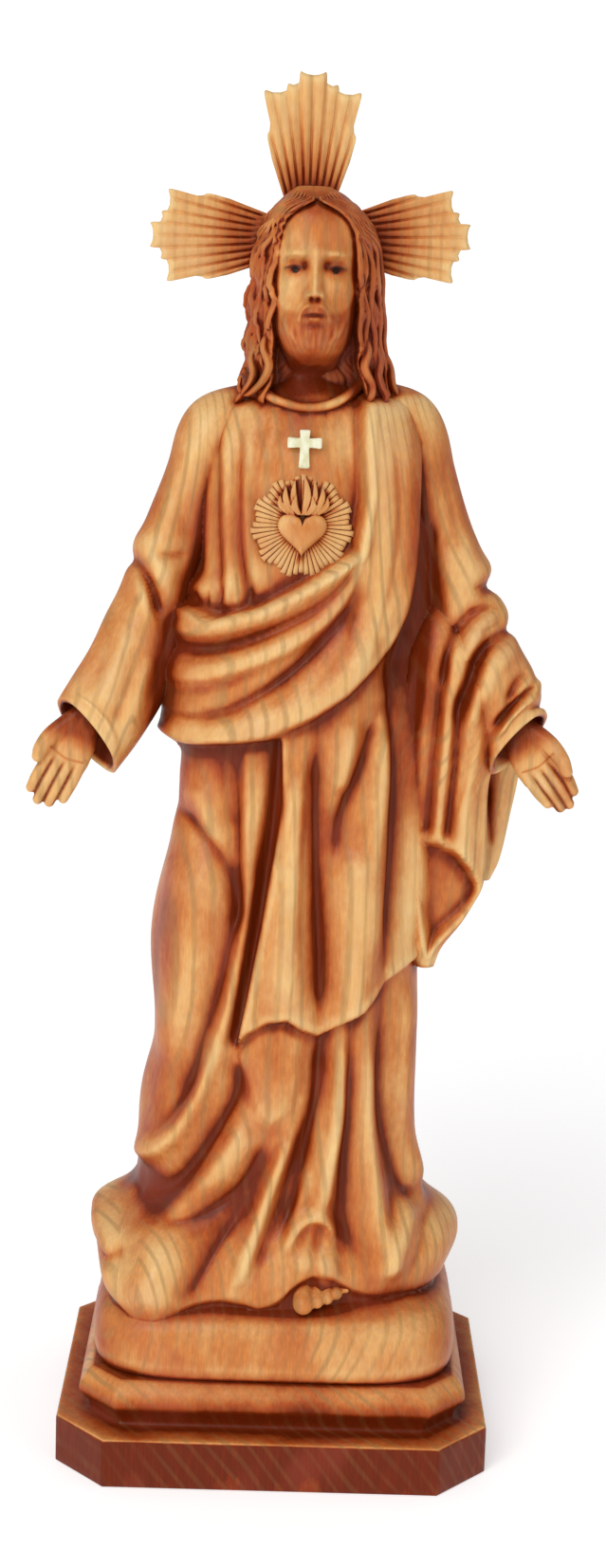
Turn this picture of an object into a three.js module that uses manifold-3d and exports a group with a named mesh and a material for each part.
// Statuette of a robed, bearded figure with open arms, a burning heart on the chest and
// three ray fans round the head, cast in resin and finished like carved wood.
// Millimetres, +Z up. The figure faces -Y and X runs to the viewer's right.
// The origin is the centre of the plinth's underside.
import * as THREE from 'three';
import Module from 'manifold-3d';

const wasm = await Module();
wasm.setup();

// Plinth: a slab with cut corners, and an undercut tier on it
const PLINTH_WIDTH = 125.4;
const PLINTH_DEPTH = 101;
const CORNER_CUT = 14.7;
const SLAB_HEIGHT = 14.5;
const TIER_HEIGHT = 13.5;
const TIER_INSET = 6.4;
const TIER_UNDERCUT = 3.2;
const TIER_SHOULDER = 4.2;

// Figure, with the mound that it stands on
const FIGURE_HEIGHT = 340;
const MOUND_MARGIN = 1.6;

// Ray fans, each held in the hair by a tongue
const TOP_RAY_LENGTH = 33;
const SIDE_RAY_LENGTH = 29.5;
const RAY_ROOT_WIDTH = 15;
const RAY_SPREAD_ANGLE = 35.2;
const RAY_THICKNESS = 3;
const RIB_RELIEF = 1.3;
const TONGUE_LENGTH = 5;

// Heart medallion and cross, let into the chest
const MEDALLION_DIAMETER = 29;
const MEDALLION_THICKNESS = 2.2;
const MEDALLION_RAYS = 24;
const HEART_WIDTH = 13.7;
const HEART_RELIEF = 3.6;
const FLAME_HEIGHT = 11.5;
const FLAME_FOOT = 0.285;
const CROSS_HEIGHT = 10.7;
const CROSS_WIDTH = 9.6;
const CROSS_ARM = 2.8;
const CROSS_THICKNESS = 2.6;
const POCKET_DEPTH = 1.2;
const POCKET_REACH = 8;

// Clearance between pieces that touch
const JOINT_GAP = 0.3;

// The figure's own form is laid out in parts, 340 to its height
const FIGURE_PARTS = 340;
const PART = FIGURE_HEIGHT / FIGURE_PARTS;

const degrees = (angle) => angle * Math.PI / 180;
const mix = (a, b, share) => a + (b - a) * share;
const clamp = (value, low, high) => Math.min(high, Math.max(low, value));

function ease(from, to, value) {
  const share = clamp((value - from) / (to - from), 0, 1);
  return share * share * (3 - 2 * share);
}

// Smooth values at a key, through stations of [key, value, value, ...]
function along(stations, key) {
  const last = stations.length - 1;
  const place = clamp(key, stations[0][0], stations[last][0]);
  let index = 0;
  while (index < last - 1 && place > stations[index + 1][0]) index += 1;
  const before = stations[Math.max(index - 1, 0)];
  const here = stations[index];
  const next = stations[index + 1];
  const after = stations[Math.min(index + 2, last)];
  const span = next[0] - here[0];
  const t = (place - here[0]) / span;
  const value = (column) => {
    const slopeHere = (next[column] - before[column]) / (next[0] - before[0]) * span;
    const slopeNext = (after[column] - here[column]) / (after[0] - here[0]) * span;
    return here[column] * (1 + 2 * t) * (1 - t) ** 2 + slopeHere * t * (1 - t) ** 2
      + next[column] * t * t * (3 - 2 * t) + slopeNext * t * t * (t - 1);
  };
  return here.slice(1).map((_, column) => value(column + 1));
}

// Even levels from the first station's key to the last one's
const levels = (stations, count) => Array.from({ length: count }, (_, i) =>
  mix(stations[0][0], stations[stations.length - 1][0], i / (count - 1)));

// How far a point lies from a path, and its share of the way along it
function nearest(path, x, z) {
  let distance = Infinity;
  let share = 0;
  for (let i = 0; i < path.length - 1; i += 1) {
    const [ax, az] = path[i];
    const dx = path[i + 1][0] - ax;
    const dz = path[i + 1][1] - az;
    const t = clamp(((x - ax) * dx + (z - az) * dz) / (dx * dx + dz * dz), 0, 1);
    const reach = Math.hypot(x - ax - t * dx, z - az - t * dz);
    if (reach < distance) {
      distance = reach;
      share = (i + t) / (path.length - 1);
    }
  }
  return { distance, share };
}

// Folds are cut deeper and wider than they are drawn, as a carver does on a small figure
const FOLD_DEPTH = 1.3;
const FOLD_WIDTH = 1.2;
// Relief of a set of folds at a point: each is [height, width, path point, ...],
// with a negative height for a groove, and each dies away at its two ends
function foldRelief(folds, x, z) {
  return folds.reduce((sum, [height, width, ...path]) => {
    const { distance, share } = nearest(path, x, z);
    const taper = Math.min(1, 0.4 + 4 * share, 0.4 + 4 * (1 - share));
    return sum + FOLD_DEPTH * height * taper * Math.exp(-((distance / width / FOLD_WIDTH) ** 2));
  }, 0);
}

// 1 well inside an outline, 0 outside it, with a soft edge
function coverage(outline, x, z, edge) {
  let inside = false;
  outline.forEach(([ax, az], i) => {
    const [bx, bz] = outline[(i + 1) % outline.length];
    if ((az > z) !== (bz > z) && x < ax + (z - az) / (bz - az) * (bx - ax)) inside = !inside;
  });
  const { distance } = nearest([...outline, outline[0]], x, z);
  return ease(-edge, edge, inside ? distance : -distance);
}

// Points made by a function at even turns round a circle, started part of a step on
const circle = (count, start, point) =>
  Array.from({ length: count }, (_, i) => point(2 * Math.PI * (i + start) / count));

// How far two triangles of a patch lie in one plane: 1 when they do
function flatness(pair, vertices) {
  const [one, other] = pair.map((face) => {
    const [a, b, c] = face.map((index) => new THREE.Vector3(...vertices[index]));
    return b.sub(a).cross(c.sub(a)).normalize();
  });
  return one.dot(other);
}

const reachOf = (a, b) => Math.hypot(a[0] - b[0], a[1] - b[1], a[2] - b[2]);

// Closed body through rings of [x, y, z] points, each four-sided patch split the flatter way
function loft(rings) {
  const sides = rings[0].length;
  const vertices = rings.flat();
  const middle = (ring) => [0, 1, 2].map((axis) => ring.reduce((sum, p) => sum + p[axis], 0) / sides);
  const first = vertices.push(middle(rings[0])) - 1;
  const last = vertices.push(middle(rings[rings.length - 1])) - 1;
  const top = (rings.length - 1) * sides;
  const faces = [];
  for (let i = 0; i < sides; i += 1) {
    const next = (i + 1) % sides;
    faces.push([first, next, i], [last, top + i, top + next]);
    for (let row = 0; row < top; row += sides) {
      const [a, b, c, d] = [row + i, row + next, row + sides + next, row + sides + i];
      const [oneWay, otherWay] = [[[a, b, c], [a, c, d]], [[a, b, d], [b, c, d]]];
      faces.push(...(flatness(oneWay, vertices) > flatness(otherWay, vertices) ? oneWay : otherWay));
    }
  }
  return solid(vertices, faces);
}

// Solid from points and triangles, turned so that its faces point outwards
function solid(vertices, faces) {
  const volume = faces.reduce((sum, face) => {
    const [a, b, c] = face.map((index) => new THREE.Vector3(...vertices[index]));
    return sum + a.dot(b.cross(c));
  }, 0);
  const turned = volume < 0 ? faces.map(([a, b, c]) => [a, c, b]) : faces;
  return new wasm.Manifold(new wasm.Mesh({
    numProp: 3,
    vertProperties: new Float32Array(vertices.flat()),
    triVerts: new Uint32Array(turned.flat()),
  }));
}

// A loft of the figure's form, from parts to millimetres
const carve = (rings) => loft(rings.map((ring) => ring.map((point) => point.map((value) => value * PART))));

const joined = (solids) => solids.reduce((whole, piece) => whole.add(piece));

function geometryOf(body) {
  const { vertProperties, triVerts } = body.getMesh();
  const geometry = new THREE.BufferGeometry();
  geometry.setAttribute('position', new THREE.BufferAttribute(vertProperties, 3));
  geometry.setIndex(new THREE.BufferAttribute(triVerts, 1));
  return geometry;
}

// Bearings round an upright body, 0 at the front, closer together there
const FRONT_CROWDING = 0.55;
function bearings(count, crowding) {
  return Array.from({ length: count }, (_, i) => {
    const turn = 2 * Math.PI * i / count - Math.PI;
    return turn - crowding * Math.sin(turn);
  });
}

// Plinth: rings of [height, inset from the slab's faces], each an oblong with cut corners
function plinth() {
  const ring = (height, inset) => {
    const x = PLINTH_WIDTH / 2 - inset;
    const y = PLINTH_DEPTH / 2 - inset;
    const cut = CORNER_CUT - inset * (2 - Math.SQRT2);
    return [[x, -y + cut], [x, y - cut], [x - cut, y], [-x + cut, y],
      [-x, y - cut], [-x, -y + cut], [-x + cut, -y], [x - cut, -y]].map((p) => [...p, height]);
  };
  const chamfer = 0.6;
  const tier = (share) => SLAB_HEIGHT + TIER_HEIGHT * share;
  const foot = TIER_INSET + TIER_UNDERCUT;
  return loft([
    ring(0, chamfer), ring(chamfer, 0), ring(SLAB_HEIGHT - chamfer, 0), ring(SLAB_HEIGHT, chamfer),
    ring(SLAB_HEIGHT, foot), ring(tier(0.22), foot - 0.25 * TIER_UNDERCUT), ring(tier(0.48), TIER_INSET),
    ring(tier(0.62), TIER_INSET), ring(tier(0.9), TIER_INSET + 0.6 * TIER_SHOULDER),
    ring(tier(1), TIER_INSET + TIER_SHOULDER),
  ]);
}

// Mound under the robe: a soft oblong block with a domed top that just overhangs the tier's top.
// Its profile is [height, share of the half width]
const MOUND_SIDES = 20;
const MOUND_SQUARENESS = 0.42;
const MOUND_PROFILE = [[0, 0.985], [6, 1], [12, 0.985], [16.5, 0.94], [19.4, 0.85], [22.5, 0.7]];
function mound() {
  const margin = MOUND_MARGIN - TIER_INSET - TIER_SHOULDER;
  const halfWidth = PLINTH_WIDTH / 2 + margin;
  const halfDepth = PLINTH_DEPTH / 2 + margin;
  const soft = (value) => Math.sign(value) * Math.abs(value) ** MOUND_SQUARENESS;
  return loft(MOUND_PROFILE.map(([height, share]) => circle(MOUND_SIDES, 0.5, (turn) => [
    halfWidth * share * soft(Math.cos(turn)), halfDepth * share * soft(Math.sin(turn)), height * PART])));
}

// Robe: [height, left, right, front, back] of its sections
const ROBE_SECTIONS = [
  [6, -50, 47, -31, 38], [20, -56.5, 51, -35, 42], [31, -57.5, 54.5, -36, 42], [42, -47, 45.5, -34, 40],
  [52, -41.5, 41.5, -32, 38], [67, -41.3, 39.5, -31.5, 36], [92, -37, 39.2, -31, 34],
  [122, -38.2, 39, -30.5, 32], [152, -34.5, 38, -29.5, 30], [177, -32.5, 37, -28.5, 28],
  [197, -34, 37, -28, 26], [222, -31, 36, -26, 25], [247, -30, 35, -24.5, 25], [265, -28, 33, -22, 24],
  [275, -24, 29, -18, 21], [280, -20, 25.5, -15, 17], [284, -12, 18, -12, 12], [287, -7, 11.5, -10, 9],
  [292, -6, 10.5, -9, 8],
];
// Where the robe's hem meets the mound, across the front
const HEM = [[-58, 20], [-43, 13], [-35, 15], [-26, 20], [-17, 22.5], [-11, 21.5], [-5, 20.5],
  [1, 23.5], [6, 28.5], [11, 31], [16, 30.5], [21, 27], [30, 23.5], [38, 22], [45, 22], [56, 24]];
const HEM_AT_BACK = 16;
// Folds cut in the front of the robe and its mantle
const ROBE_FOLDS = [
  // tunic on the chest
  [1.3, 4, [-25, 269], [-25, 248], [-24, 225]],
  [-1.5, 2.4, [-23, 271], [-22, 248], [-21, 235], [-19, 223]],
  [1.5, 4, [-19, 274], [-19, 251], [-18, 235], [-16, 223]],
  [-1.4, 2.4, [-16, 269], [-16, 249], [-15, 235], [-11, 225]],
  [1.2, 4, [-12, 277], [-14, 256], [-13, 238], [-9, 228]],
  // sash across the waist
  [2.6, 4, [-33, 216], [-21, 217], [-9, 221], [2, 228], [10, 235], [16, 239]],
  [-2.6, 2.8, [-33, 210], [-21, 210], [-9, 216], [6, 225], [13, 233]],
  [2.6, 4.5, [-34, 202], [-21, 205], [-6, 213], [8, 223], [16, 233]],
  [-3.2, 2.8, [-32, 190], [-20, 192], [-9, 199], [2, 209], [10, 219], [15, 228]],
  [3, 5.5, [-35, 187], [-20, 187], [-5, 192], [6, 198], [15, 207], [21, 217]],
  // mantle from the shoulder
  [1.2, 5, [14, 205], [18, 217], [21, 231], [22, 252], [20, 283]],
  [1.6, 5, [24, 219], [28, 233], [27, 252], [25, 283]],
  [3, 4, [31, 278], [33, 236], [33, 187], [34, 162], [36, 143], [38, 122]],
  // mantle below the sash
  [-4.2, 3.6, [30, 226], [28, 204], [29, 184], [30, 162], [29, 143], [27, 115]],
  [2.8, 5, [25, 196], [25, 178], [23, 162], [23, 143], [22, 110]],
  [-3.6, 3.6, [24, 193], [20, 181], [14, 166], [12, 152]],
  [2.2, 5, [15, 193], [14, 182], [12, 171]],
  [2.2, 4.5, [18, 157], [18, 143], [18, 124], [19, 107]],
  [-4.8, 3.2, [7, 187], [7, 168], [9, 142], [11, 123], [12, 102]],
  [3.6, 7, [3, 184], [2, 165], [1, 148], [0, 129], [0, 106]],
  [-3.6, 3.2, [-1, 183], [-2, 167], [-4, 148], [-7, 132], [-13, 101]],
  // skirt, drawn back over the right leg to a train
  [3, 3.6, [-9, 181], [-12, 145], [-14, 116], [-18, 97], [-25, 78], [-32, 66], [-44, 54], [-54, 44]],
  [-4.4, 4.2, [-20, 181], [-14, 145], [-16, 129], [-18, 116], [-24, 99], [-27, 84], [-35, 67]],
  [-2.6, 2.6, [-33, 162], [-26, 158], [-19, 148], [-15, 140]],
  [2.4, 10, [-29, 153], [-27, 137], [-27, 117], [-30, 100], [-34, 83]],
  [-4.4, 3.6, [-13, 102], [-12, 85], [-18, 72], [-26, 59], [-34, 49], [-48, 40]],
  [2.8, 8, [-3, 99], [-2, 90], [-3, 80]],
  [3.2, 6, [-9, 73], [-15, 62], [-24, 51], [-35, 38]],
  [-2.8, 3.2, [-1, 72], [-6, 60], [-13, 52], [-25, 45], [-35, 42]],
  [3.4, 8, [-28, 41], [-34, 31], [-39, 20]],
  [-3.2, 3.2, [-9, 51], [-14, 43], [-21, 32], [-29, 21]],
  [2.6, 3.2, [4, 73], [-1, 59], [-7, 40], [-11, 27]],
  // skirt over the left leg
  [-4.4, 3.2, [11, 99], [11, 85], [7, 67], [5, 54], [-1, 39]],
  [3, 3.6, [17, 102], [17, 78], [15, 62], [12, 46]],
  [-2.6, 2.8, [20, 100], [20, 78], [19, 62], [20, 47], [24, 34]],
  [2.8, 4.2, [24, 103], [25, 78], [27, 63], [30, 47], [33, 34]],
  [-3.8, 4.2, [28, 106], [30, 78], [35, 63], [39, 53], [43, 46]],
  [2.6, 4.5, [34, 113], [35, 94], [36, 71], [41, 57], [50, 45]],
  [4, 8, [10, 44], [12, 34]],
];
// Outlines of the cloth that lies over the tunic, and of its thick rolled sash
const MANTLE = [[15, 292], [16, 275], [17, 256], [15, 240], [8, 235], [1, 230], [-9, 224], [-20, 220],
  [-34, 224], [-60, 222], [-60, 190], [-36, 185], [-27, 183], [-16, 185], [-3, 187], [-2, 168], [-7, 133],
  [-13, 97], [-10, 101], [-1, 106], [3, 105], [10, 101], [17, 105], [22, 108], [28, 115], [34, 119],
  [43, 124], [60, 130], [60, 292]];
const SASH = [[15, 292], [16, 275], [17, 256], [15, 240], [8, 235], [1, 230], [-9, 224], [-20, 220],
  [-34, 224], [-60, 222], [-60, 190], [-36, 185], [-27, 183], [-16, 185], [-5, 188], [6, 194], [14, 200],
  [20, 207], [25, 213], [29, 221], [31, 236], [31, 263], [31, 292]];
const MANTLE_THICKNESS = 2.2;
const SASH_THICKNESS = 3;
const CLOTH_EDGE = 2.2;

// Relief of the robe's back: the mantle's slanting folds over the skirt's upright ones
function backRelief(x, z, across) {
  const hem = 150 - 30 * across - 22 * (1 - across * across);
  const covered = ease(hem - 1.5, hem + 1.5, z) * ease(284, 262, z - 24 * (1 + across));
  const slanting = 1.5 * Math.cos(0.15 * z + 0.14 * x);
  const upright = 2 * Math.cos(0.34 * x + 0.008 * z) * ease(hem + 20, hem - 30, z);
  return covered * (MANTLE_THICKNESS + 1 + slanting) + (1 - covered) * upright;
}

function robePoint(bearing, z) {
  const [left, right, front, back] = along(ROBE_SECTIONS, z);
  const across = Math.sin(bearing);
  const ahead = Math.cos(bearing);
  const halfWidth = (right - left) / 2;
  const depth = ahead > 0 ? -front : back;
  const x = (left + right) / 2 + halfWidth * across;
  const y = -depth * Math.sign(ahead) * Math.abs(ahead) ** 0.8;
  const facing = ease(-0.1, 0.25, ahead);
  const frontRelief = foldRelief(ROBE_FOLDS, x, z) + MANTLE_THICKNESS * coverage(MANTLE, x, z, CLOTH_EDGE)
    + SASH_THICKNESS * coverage(SASH, x, z, CLOTH_EDGE);
  const relief = mix(backRelief(x, z, across), frontRelief, facing) * ease(286, 279, z);
  const out = [across / halfWidth, -ahead / depth];
  const length = Math.hypot(...out);
  return [x + relief * out[0] / length, y + relief * out[1] / length, z];
}

// Depth of the robe's smooth front at a place on it
function frontOf(x, z) {
  const [left, right, front] = along(ROBE_SECTIONS, z);
  const across = (2 * x - left - right) / (right - left);
  return front * (1 - across * across) ** 0.4;
}

const ROBE_ROWS = 38;
const ROBE_COLUMNS = 43;
// The rows slant up to the viewer's right with the sash, by this much at the most
const SASH_RISE = 22;
// Share of the rows against share of the height: closest across the sash
const ROW_SPACING = [[0, 0], [0.26, 0.3], [0.41, 0.57], [0.84, 0.85], [1, 1]];
const ROBE_TOP = 292;
function robe() {
  const turns = bearings(ROBE_COLUMNS, FRONT_CROWDING);
  const hemAt = (bearing) => {
    const [left, right] = along(ROBE_SECTIONS, 24);
    const x = (left + right) / 2 + (right - left) / 2 * Math.sin(bearing);
    return mix(HEM_AT_BACK, along(HEM, x)[0], ease(-0.3, 0.2, Math.cos(bearing)));
  };
  const shrunk = ([x, y], share, z) => [x * share, y * share, z];
  const under = [
    turns.map((turn) => shrunk(robePoint(turn, hemAt(turn)), 0.84, 8)),
    turns.map((turn) => shrunk(robePoint(turn, hemAt(turn)), 0.95, hemAt(turn) - 0.6)),
  ];
  const rows = Array.from({ length: ROBE_ROWS }, (_, row) => turns.map((turn) => {
    const [share] = along(ROW_SPACING, row / (ROBE_ROWS - 1));
    const level = mix(hemAt(turn), ROBE_TOP, share);
    const rise = SASH_RISE * ((Math.sin(turn) + 1) / 2) ** 2 * ease(-0.2, 0.3, Math.cos(turn));
    return robePoint(turn, level + rise * ease(90, 190, level) * ease(287, 230, level));
  }));
  return carve([...under, ...rows]);
}

// Sleeve: [step, x, y, z, turn of the section's outer end in degrees, half width, half depth],
// ending in a hollow cuff
const RIGHT_SLEEVE = [
  [0, -13, 1, 276.5, 100, 8.5, 9], [1, -24, 0, 269.5, 126, 11.5, 12], [2, -29, -1, 259, 165, 9.2, 11.5],
  [3, -34, -2, 243, 165, 10, 11.5], [4, -38.5, -4, 229, 172, 10.3, 11.5], [5, -42, -7, 217, 165, 10.8, 11],
  [6, -48.5, -10.5, 203, 155, 11.2, 10.5], [7, -54, -12.5, 192, 145, 11.8, 10.2],
  [8, -59.3, -14.5, 182.5, 135, 12.2, 10],
];
const LEFT_SLEEVE = [
  [0, 17, 1, 278, 78, 9, 9], [1, 29, 1, 271, 54, 12.8, 12], [2, 35, 0, 259, 18, 10, 12],
  [3, 40, -1, 244, 14, 10.5, 12], [4, 45.5, -4, 229.5, 18, 11, 12], [5, 51, -8, 214, 25, 11.5, 11.5],
  [6, 57, -11.5, 202.5, 36, 11.4, 11], [7, 61, -13.5, 195, 46, 11.2, 10.5],
  [8, 64.7, -15, 188, 56, 11.5, 10],
];
// Folds cut in the front of each sleeve
const RIGHT_SLEEVE_FOLDS = [
  [-2.4, 2.2, [-50, 234], [-44, 229], [-38, 221]],
  [1.8, 5, [-46, 240], [-40, 234], [-35, 226]],
  [1.6, 6, [-44, 219], [-49, 205], [-55, 188]],
  [-1.8, 4, [-35, 222], [-38, 208], [-42, 193]],
];
const LEFT_SLEEVE_FOLDS = [
  [-2.2, 2.4, [42, 200], [45, 211], [51, 220], [58, 224]],
  [2.2, 3.2, [44, 200], [48, 210], [53, 217], [60, 220]],
  [-2.6, 2.4, [48, 193], [50, 202], [54, 211], [62, 218]],
  [2.4, 4.5, [51, 193], [55, 204], [62, 210], [66, 208]],
  [-1.6, 2, [60, 197], [63, 203], [68, 205]],
];
const CUFF_WALL = 1.8;
const CUFF_HOLLOW = 6;
const SLEEVE_SIDES = 12;
const SLEEVE_RINGS = 10;
function sleeve(stations, folds) {
  const ring = (step, shrink, back) => {
    const [x, y, z, turn, halfWidth, halfDepth] = along(stations, step);
    const outer = [Math.cos(degrees(turn)), Math.sin(degrees(turn))];
    const [bx, by, bz] = along(stations, step - back);
    return circle(SLEEVE_SIDES, 0, (round) => {
      const across = Math.cos(round) * (halfWidth - shrink);
      const px = x + across * outer[0];
      const pz = z + across * outer[1];
      const facing = ease(-0.2, 0.4, -Math.sin(round));
      const relief = shrink > 0 ? 0 : facing * foldRelief(folds, px, pz);
      const depth = Math.sin(round) * (halfDepth - shrink + relief);
      return [px + bx - x, y + depth + by - y, pz + bz - z];
    });
  };
  const [cuff, beforeCuff] = [...stations].reverse();
  const last = cuff[0];
  const steps = Array.from({ length: SLEEVE_RINGS }, (_, i) => last * i / (SLEEVE_RINGS - 1));
  const hollow = CUFF_HOLLOW / reachOf(cuff.slice(1), beforeCuff.slice(1));
  const lining = [ring(last, CUFF_WALL, 0), ring(last, CUFF_WALL + 1, hollow)];
  return carve([...steps.map((step) => ring(step, 0, 0)), ...lining]);
}

// Round limb through [x, y, z, radius] points, with a rounded tip
function limb(points, sides) {
  const at = (i) => new THREE.Vector3(...points[clamp(i, 0, points.length - 1)]);
  const ring = (centre, tangent, radius) => {
    const side = new THREE.Vector3(0.3, 0.2, 1).cross(tangent).normalize();
    const up = tangent.clone().cross(side);
    return circle(sides, 0, (turn) => centre.clone().addScaledVector(side, radius * Math.cos(turn))
      .addScaledVector(up, radius * Math.sin(turn)).toArray());
  };
  const rings = points.map((point, i) => ring(at(i), at(i + 1).sub(at(i - 1)).normalize(), point[3]));
  const end = points.length - 1;
  const tangent = at(end).sub(at(end - 1)).normalize();
  const radius = points[end][3];
  rings.push(ring(at(end).addScaledVector(tangent, 0.7 * radius), tangent, 0.6 * radius));
  return carve(rings);
}

// Hand: a palm and five fingers, laid out in shares of its length along the fingers,
// across towards the thumb and out of the palm
const HAND_LENGTH = 25;
const PALM_SIDES = 8;
const FINGER_SIDES = 5;
const PALM = [[-0.3, 0.13, 0.1], [0, 0.15, 0.11], [0.2, 0.21, 0.11], [0.4, 0.25, 0.09], [0.54, 0.23, 0.065]];
const FINGERS = [
  [[0.45, 0.18, 0, 0.074], [0.72, 0.195, 0.03, 0.066], [0.92, 0.2, 0.06, 0.053]],
  [[0.45, 0.06, 0, 0.076], [0.76, 0.065, 0.03, 0.068], [1, 0.065, 0.06, 0.054]],
  [[0.45, -0.06, 0, 0.074], [0.74, -0.065, 0.03, 0.066], [0.95, -0.068, 0.06, 0.053]],
  [[0.42, -0.175, 0, 0.068], [0.64, -0.19, 0.03, 0.06], [0.8, -0.195, 0.06, 0.049]],
  [[0.1, 0.15, 0, 0.09], [0.34, 0.29, 0.04, 0.08], [0.52, 0.34, 0.08, 0.06]],
];
// Each hand's wrist, the way its fingers point and the side that its thumb is on
const RIGHT_HAND = { wrist: [-59.5, -14.5, 184.5], fingerward: [-0.47, -0.16, -0.87],
  thumbward: [-0.87, 0.1, 0.49] };
const LEFT_HAND = { wrist: [64.5, -15, 188.5], fingerward: [0.6, -0.16, -0.78],
  thumbward: [0.79, 0.1, 0.6] };
function hand({ wrist, fingerward, thumbward }) {
  const along3 = new THREE.Vector3(...fingerward).normalize();
  const palmward = along3.clone().cross(new THREE.Vector3(...thumbward)).normalize();
  if (palmward.y > 0) palmward.negate();
  const across3 = new THREE.Vector3(...thumbward).projectOnPlane(along3).projectOnPlane(palmward);
  across3.normalize();
  const place = (a, b, c) => new THREE.Vector3(...wrist).addScaledVector(along3, a * HAND_LENGTH)
    .addScaledVector(across3, b * HAND_LENGTH).addScaledVector(palmward, c * HAND_LENGTH).toArray();
  const palm = carve(PALM.map(([a, halfWidth, halfDepth]) => circle(PALM_SIDES, 0, (turn) =>
    place(a, halfWidth * Math.cos(turn), halfDepth * Math.sin(turn)))));
  const joints = (path) => path.map(([a, b, c, radius]) => [...place(a, b, c), radius * HAND_LENGTH]);
  const fingers = FINGERS.map((path) => limb(joints(path), FINGER_SIDES));
  return joined([palm, ...fingers]);
}

// Mantle hanging from the left arm in two flaps: rows of [height, left, right, front, back]
const FRONT_FLAP = [[117, 38, 43.5, -13, -7], [123, 34, 45.5, -15, -6], [131, 32, 51, -16, -5],
  [144, 31, 57, -17, -4], [172, 31, 56.5, -17.5, -3], [192, 31, 59, -17, -3], [204, 32, 57, -14, -4],
  [214, 34, 50, -9, -4]];
const BACK_FLAP = [[140, 56, 60, 1, 6], [146, 53, 62.5, 0, 7], [160, 50, 65, -2, 8], [175, 46, 67, -4, 8],
  [200, 40, 66, -6, 7], [210, 40, 58, -6, 5]];
const FLAP_ROWS = 7;
const FLAP_COLUMNS = 6;
function flap(sections, folds) {
  return carve(levels(sections, FLAP_ROWS).map((z) => {
    const [left, right, front, back] = along(sections, z);
    const middle = (front + back) / 2;
    const face = (y, sign) => Array.from({ length: FLAP_COLUMNS }, (_, i) => {
      const share = i / (FLAP_COLUMNS - 1);
      const x = mix(left, right, share);
      const crown = Math.sin(Math.PI * mix(0.12, 0.88, share));
      return [x, mix(middle, y, crown) - (sign > 0 ? foldRelief(folds, x, z) : 0), z];
    });
    return [...face(front, 1), ...face(back, -1).reverse()];
  }));
}
const FRONT_FLAP_FOLDS = [
  [1.6, 4, [53, 196], [50, 177], [48, 158], [47, 146]],
  [-2.2, 2.6, [47, 190], [44, 170], [42, 150]],
  [-3, 4.5, [50, 152], [50, 142], [47, 132]],
];

// Head: [height share, half width, front, back], in shares of the head's height from the chin
const HEAD_HEIGHT = 46;
const CHIN = 294;
const HEAD_X = 2.6;
const HEAD_Y = -4;
const HEAD_SECTIONS = [
  [-0.3, 0.19, 0.13, 0.2], [-0.12, 0.17, 0.14, 0.24], [-0.05, 0.16, 0.35, 0.28], [0.05, 0.22, 0.44, 0.32],
  [0.2, 0.28, 0.44, 0.36], [0.35, 0.3, 0.42, 0.38], [0.5, 0.315, 0.41, 0.38], [0.62, 0.32, 0.43, 0.38],
  [0.76, 0.3, 0.4, 0.36], [0.86, 0.22, 0.28, 0.28], [0.92, 0.12, 0.16, 0.16],
];
// Features of the face: [relief, centre across, centre height, half width, half height],
// each mirrored to the other side of the face
const FEATURES = [
  [0.045, 0.13, 0.6, 0.08, 0.035], [-0.07, 0.14, 0.51, 0.07, 0.05], [0.03, 0.14, 0.5, 0.045, 0.028],
  [0.045, 0, 0.52, 0.035, 0.08], [0.07, 0, 0.42, 0.04, 0.07], [0.075, 0, 0.345, 0.05, 0.045],
  [0.03, 0.05, 0.335, 0.03, 0.028], [0.03, 0.17, 0.38, 0.07, 0.06],
  [0.045, 0.06, 0.275, 0.06, 0.028], [-0.04, 0, 0.225, 0.07, 0.018], [0.03, 0, 0.185, 0.05, 0.022],
  [0.05, 0, 0.06, 0.1, 0.08], [0.03, 0.16, 0.12, 0.06, 0.09],
];
function faceRelief(across, share) {
  return FEATURES.reduce((sum, [relief, x, z, width, height]) => {
    const side = Math.abs(across) - x;
    return sum + relief * Math.exp(-((side / width) ** 2) - ((share - z) / height) ** 2);
  }, 0);
}
// Hair: [height, left, right, front, back, half angle of the opening for the face]
const HAIR_SECTIONS = [
  [275, -15, 22, -13, 12, 60], [280, -19.5, 26.5, -18, 14, 56], [286, -18.6, 26, -19, 16, 48],
  [296, -16.4, 22.8, -20, 17, 44], [304, -16.8, 23.2, -22, 18, 44], [315, -16.6, 21.2, -24, 19, 42],
  [323, -15.4, 19.2, -25.5, 19, 37], [329, -13.4, 16.8, -26, 18, 28], [334, -11.4, 14.4, -23.5, 16, 4],
  [337, -8.2, 11, -18.5, 12, 0], [340, -3.4, 6.4, -10, 5, 0],
];
const LOCKS = 9;
const LOCK_DEPTH = 1.5;
const FACE_CROWDING = 0.6;
const FACE_COLUMNS = 22;
const FACE_ROWS = 19;
const HAIR_COLUMNS = 24;
const HAIR_ROWS = 14;

// Face and neck, closed under the hair
function face() {
  const turns = bearings(FACE_COLUMNS, FACE_CROWDING);
  return carve(levels(HEAD_SECTIONS, FACE_ROWS).map((share) => {
    const [halfWidth, front, back] = along(HEAD_SECTIONS, share);
    return turns.map((turn) => {
      const across = halfWidth * Math.sin(turn);
      const ahead = Math.cos(turn);
      const depth = ahead > 0 ? front : back;
      const relief = ease(0, 0.4, ahead) * faceRelief(across, share);
      const forward = depth * Math.sign(ahead) * Math.abs(ahead) ** 0.85 + relief;
      const [right, up, out] = [across, share, forward].map((part) => part * HEAD_HEIGHT);
      return [HEAD_X + right, HEAD_Y - out, CHIN + up];
    });
  }));
}

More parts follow.
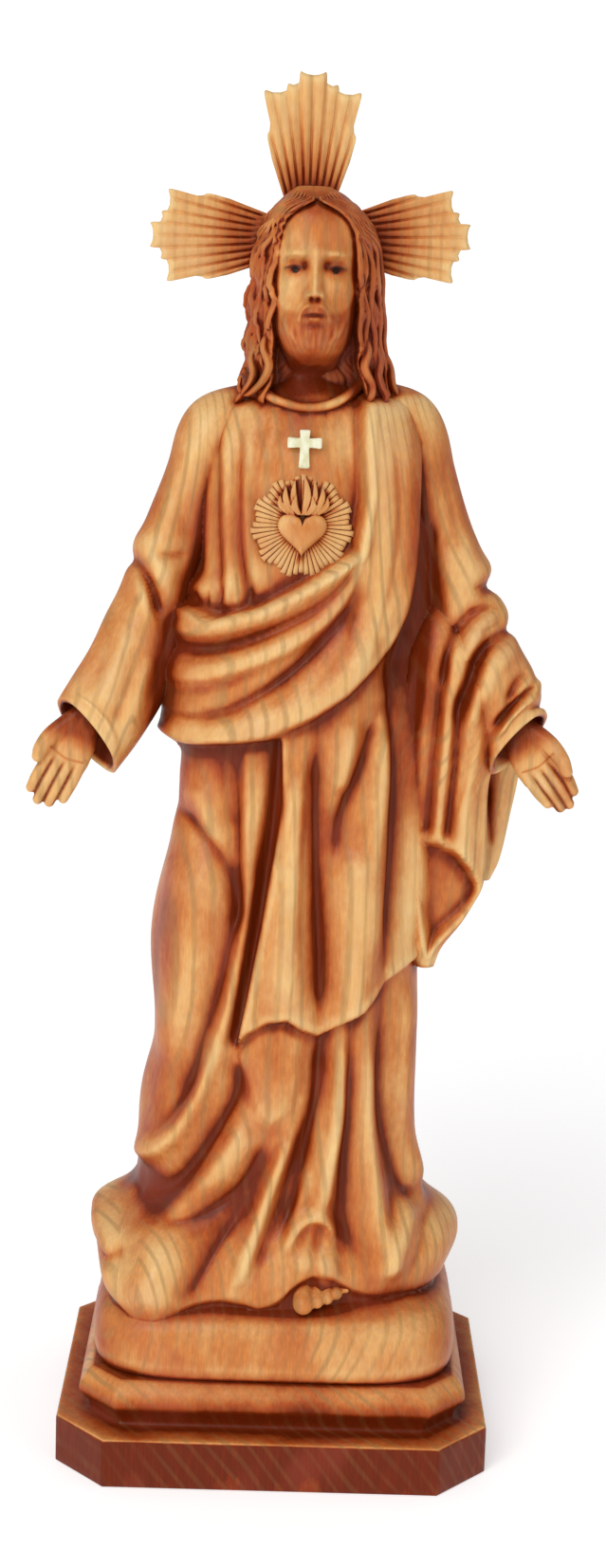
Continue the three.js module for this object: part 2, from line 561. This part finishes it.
// Wavy hair parted in the middle: its shell dips inside the face where the face is bare
function hair() {
  const turns = bearings(HAIR_COLUMNS, FRONT_CROWDING);
  return carve(levels(HAIR_SECTIONS, HAIR_ROWS).map((z) => {
    const [left, right, front, back, opening] = along(HAIR_SECTIONS, z);
    return turns.map((turn) => {
      const ahead = Math.cos(turn);
      const wave = LOCK_DEPTH * Math.cos(LOCKS * turn + 2.2 * Math.sin(z / 5)) * ease(340, 330, z);
      const edge = Math.abs(turn) * 180 / Math.PI - opening;
      const bare = opening > 2 ? ease(4, -6, edge) : 0;
      const parting = 1.2 * Math.exp(-((turn / 0.14) ** 2));
      const depth = ((ahead > 0 ? -front : back) + wave - parting) * mix(1, 0.5, bare);
      const x = (left + right) / 2 + ((right - left) / 2 + wave) * Math.sin(turn);
      return [x, -depth * Math.sign(ahead) * Math.abs(ahead) ** 0.9, z];
    });
  }));
}

// Bare foot that steps out under the hem: instep, sole and five toes of [x, y, z, radius]
const INSTEP_SIDES = 6;
const TOES = [[8.2, -36, 22.4, 3], [12.1, -35.4, 23, 2.1], [15, -34.2, 23.6, 2], [17.6, -32.8, 24.4, 1.9],
  [20, -31, 25.4, 1.7]];
function foot() {
  const instep = limb([[16, -14, 28, 5], [13, -22, 26.5, 5.2], [10.8, -29, 25.2, 4.6]], INSTEP_SIDES);
  const sole = limb([[17, -14, 23, 4], [14.5, -22, 22.6, 4.4], [14, -27, 22.2, 3.8]], INSTEP_SIDES);
  const toes = TOES.map(([x, y, z, radius]) =>
    limb([[x - 1, y + 8, z + 5, radius], [x, y, z, radius]], FINGER_SIDES));
  return joined([instep, sole, ...toes]);
}

// Ray fan in its own frame: its root at the origin, opening along +Z, ribbed on both faces.
// Each rib has a share of the half spread and a reach, as a share of the fan's length
const RIBS = [[-1.06, 0.47], [-0.87, 0.87], [-0.5, 0.88], [-0.21, 1], [0, 0.97], [0.21, 1], [0.5, 0.88],
  [0.87, 0.87], [1.06, 0.47]];
function rayFan(length, grow) {
  const spread = degrees(RAY_SPREAD_ANGLE / 2);
  const apex = RAY_ROOT_WIDTH / 2 / Math.tan(spread);
  const columns = RIBS.flatMap(([turn, reach], i) => {
    const rib = { turn: spread * turn, reach: length * reach, relief: RIB_RELIEF / 2 };
    if (i === RIBS.length - 1) return [rib];
    const [nextTurn, nextReach] = RIBS[i + 1];
    const dip = 0.97 * length * Math.min(reach, nextReach);
    return [rib, { turn: spread * (turn + nextTurn) / 2, reach: dip, relief: 0 }];
  });
  const radii = [() => apex - TONGUE_LENGTH - grow, () => apex, (reach) => apex + reach + grow];
  const widen = 1 + 2 * grow / RAY_ROOT_WIDTH;
  return loft(columns.map(({ turn, reach, relief }) => {
    const half = RAY_THICKNESS / 2 - RIB_RELIEF / 2 + grow;
    const edge = radii.map((radius, i) => {
      const r = radius(reach);
      const y = half + (i === 0 ? 0 : relief);
      return [r * Math.sin(turn) * widen, y, r * Math.cos(turn) - apex];
    });
    return [...edge, ...edge.map(([x, y, z]) => [x, -y, z]).reverse()];
  }));
}

// Places of the fans' roots in the hair, each turned about the depth axis
const RAY_Y = 7;
const FANS = [
  { name: 'ray_fan_top', root: [0.5, 339.5], turn: 0, length: TOP_RAY_LENGTH },
  { name: 'ray_fan_left', root: [-15.5, 325.5], turn: -90, length: SIDE_RAY_LENGTH },
  { name: 'ray_fan_right', root: [17.5, 326.5], turn: 88, length: SIDE_RAY_LENGTH },
];
function fanPlace({ root, turn }) {
  const turned = new THREE.Matrix4().makeRotationY(degrees(turn));
  return turned.setPosition(root[0] * PART, RAY_Y * PART, root[1] * PART);
}

// Medallion in its own frame: its back in the plane y = 0, the front towards -Y
const MEDALLION_REACH = [1, 0.97, 0.93, 0.97];
function burst() {
  const columns = Array.from({ length: 2 * MEDALLION_RAYS }, (_, i) => {
    const ray = Math.floor(i / 2);
    const reach = MEDALLION_REACH[ray % MEDALLION_REACH.length] * MEDALLION_DIAMETER / 2;
    return { turn: Math.PI * i / MEDALLION_RAYS, reach, groove: i % 2 ? 0.7 : 0 };
  });
  const ring = (share, y, grooved) => columns.map(({ turn, reach, groove }) => [
    share * reach * Math.sin(turn), y + (grooved ? groove : 0), share * reach * Math.cos(turn)]);
  const front = -MEDALLION_THICKNESS;
  return loft([ring(1, 0, false), ring(1, front + 1, true), ring(0.3, front, true)]);
}
const HEART_SIDES = 16;
// The curve of a heart is 32 units wide; it is set this many units below the medallion's centre
const HEART_DROP = 2.4;
function heart() {
  const scale = HEART_WIDTH / 32;
  const outline = (share, y) => circle(HEART_SIDES, 0, (t) => {
    const x = 16 * Math.sin(t) ** 3;
    const z = 13 * Math.cos(t) - 5 * Math.cos(2 * t) - 2 * Math.cos(3 * t) - Math.cos(4 * t);
    return [x * scale * share, y, (z - HEART_DROP) * scale * share];
  });
  const relief = HEART_RELIEF;
  return loft([outline(0.95, -0.5), outline(1, -0.7 * relief), outline(0.6, -relief - 0.4)]);
}
function flames() {
  const base = FLAME_FOOT * HEART_WIDTH;
  const tongues = [[-0.34, 0.55, -26], [-0.17, 0.85, -10], [0, 1, 4], [0.17, 0.8, 12], [0.34, 0.55, 28]];
  return joined(tongues.map(([share, height, lean]) => {
    const foot = share * HEART_WIDTH;
    const tip = height * FLAME_HEIGHT;
    const rings = [[0, 1], [0.5, 1.25], [1, 0.15]];
    return loft(rings.map(([rise, width]) => circle(4, 0, (turn) => {
      const x = foot + Math.sin(degrees(lean)) * rise * tip + 1.25 * width * Math.sin(turn);
      return [x, -MEDALLION_THICKNESS - 0.2 + 1.3 * width * Math.cos(turn), base + rise * tip];
    })));
  }));
}
const medallion = () => joined([burst(), heart(), flames()]);

// Round pocket that clears the medallion
const POCKET_SIDES = 24;
function pocket() {
  const radius = (MEDALLION_DIAMETER / 2 + JOINT_GAP) / Math.cos(Math.PI / POCKET_SIDES);
  return loft([JOINT_GAP, -MEDALLION_THICKNESS - POCKET_REACH].map((y) => circle(POCKET_SIDES, 0, (turn) =>
    [radius * Math.sin(turn), y, radius * Math.cos(turn)])));
}

// Cross in the same frame, with its foot at the origin
function cross(grow) {
  const arm = CROSS_ARM / 2 + grow;
  const half = CROSS_WIDTH / 2 + grow;
  const beam = CROSS_HEIGHT * 0.66;
  const top = CROSS_HEIGHT + grow;
  const outline = [[-arm, -grow], [arm, -grow], [arm, beam - arm], [half, beam - arm], [half, beam + arm],
    [arm, beam + arm], [arm, top], [-arm, top], [-arm, beam + arm], [-half, beam + arm],
    [-half, beam - arm], [-arm, beam - arm]];
  const shape = new THREE.Shape(outline.map(([x, z]) => new THREE.Vector2(x, z)));
  const depth = CROSS_THICKNESS + grow + (grow > 0 ? POCKET_REACH : 0);
  const plate = new THREE.ExtrudeGeometry(shape, { depth, bevelEnabled: false });
  plate.rotateX(Math.PI / 2);
  plate.translate(0, grow, 0);
  return solidOf(plate);
}

// Solid from an extrusion, with its doubled vertices merged
function solidOf(geometry) {
  const position = geometry.getAttribute('position');
  const seen = new Map();
  const vertices = [];
  const faces = [];
  const merged = Array.from({ length: position.count }, (_, index) => {
    const point = [position.getX(index), position.getY(index), position.getZ(index)];
    const key = point.map((value) => Math.round(value * 1e4)).join();
    if (!seen.has(key)) seen.set(key, vertices.push(point) - 1);
    return seen.get(key);
  });
  for (let i = 0; i < merged.length; i += 3) faces.push(merged.slice(i, i + 3));
  return solid(vertices, faces);
}

// Chest frame: the medallion leans back with the chest that it lies on
const CHEST_X = 1.1;
const CHEST_Z = 246.5;
function chestPlace(rise) {
  const reach = MEDALLION_DIAMETER / 2 / PART;
  const fall = frontOf(CHEST_X, CHEST_Z + reach) - frontOf(CHEST_X, CHEST_Z - reach);
  const lean = Math.atan2(fall, 2 * reach);
  const y = frontOf(CHEST_X, CHEST_Z) * PART + POCKET_DEPTH;
  const place = new THREE.Matrix4().makeRotationX(-lean);
  place.setPosition(CHEST_X * PART, y, CHEST_Z * PART);
  return place.multiply(new THREE.Matrix4().makeTranslation(0, 0, rise));
}
const MEDALLION_PLACE = chestPlace(0);
const CROSS_PLACE = chestPlace(FLAME_FOOT * HEART_WIDTH + FLAME_HEIGHT + 2 * JOINT_GAP);

const placed = (body, matrix) => body.transform(matrix.elements);

function figure() {
  const whole = joined([
    mound(), robe(), face(), hair(), foot(),
    sleeve(RIGHT_SLEEVE, RIGHT_SLEEVE_FOLDS), sleeve(LEFT_SLEEVE, LEFT_SLEEVE_FOLDS),
    hand(RIGHT_HAND), hand(LEFT_HAND),
    flap(FRONT_FLAP, FRONT_FLAP_FOLDS), flap(BACK_FLAP, []),
  ]);
  const pockets = [placed(pocket(), MEDALLION_PLACE), placed(cross(JOINT_GAP), CROSS_PLACE)];
  const slots = FANS.map((fan) => placed(rayFan(fan.length, JOINT_GAP), fanPlace(fan)));
  return [...pockets, ...slots].reduce((body, cut) => body.subtract(cut), whole);
}

const woodLook = (color) => new THREE.MeshStandardMaterial({ color, roughness: 0.35, metalness: 0 });
const CARVED = woodLook(0xc98a52);
const STAINED = woodLook(0x9c5a32);
const PAINTED = new THREE.MeshStandardMaterial({ color: 0xe8e2c4, roughness: 0.5, metalness: 0 });

function piece(name, body, material, matrix) {
  const mesh = new THREE.Mesh(geometryOf(body), material);
  mesh.name = name;
  if (matrix) mesh.applyMatrix4(matrix);
  return mesh;
}

const statue = new THREE.Group();
statue.add(piece('plinth', plinth(), STAINED));

const onPlinth = new THREE.Group();
onPlinth.position.z = SLAB_HEIGHT + TIER_HEIGHT + JOINT_GAP;
onPlinth.add(piece('figure', figure(), CARVED));
onPlinth.add(piece('heart_medallion', medallion(), CARVED, MEDALLION_PLACE));
onPlinth.add(piece('chest_cross', cross(0), PAINTED, CROSS_PLACE));
FANS.forEach((fan) => onPlinth.add(piece(fan.name, rayFan(fan.length, 0), CARVED, fanPlace(fan))));
statue.add(onPlinth);

export default statue;
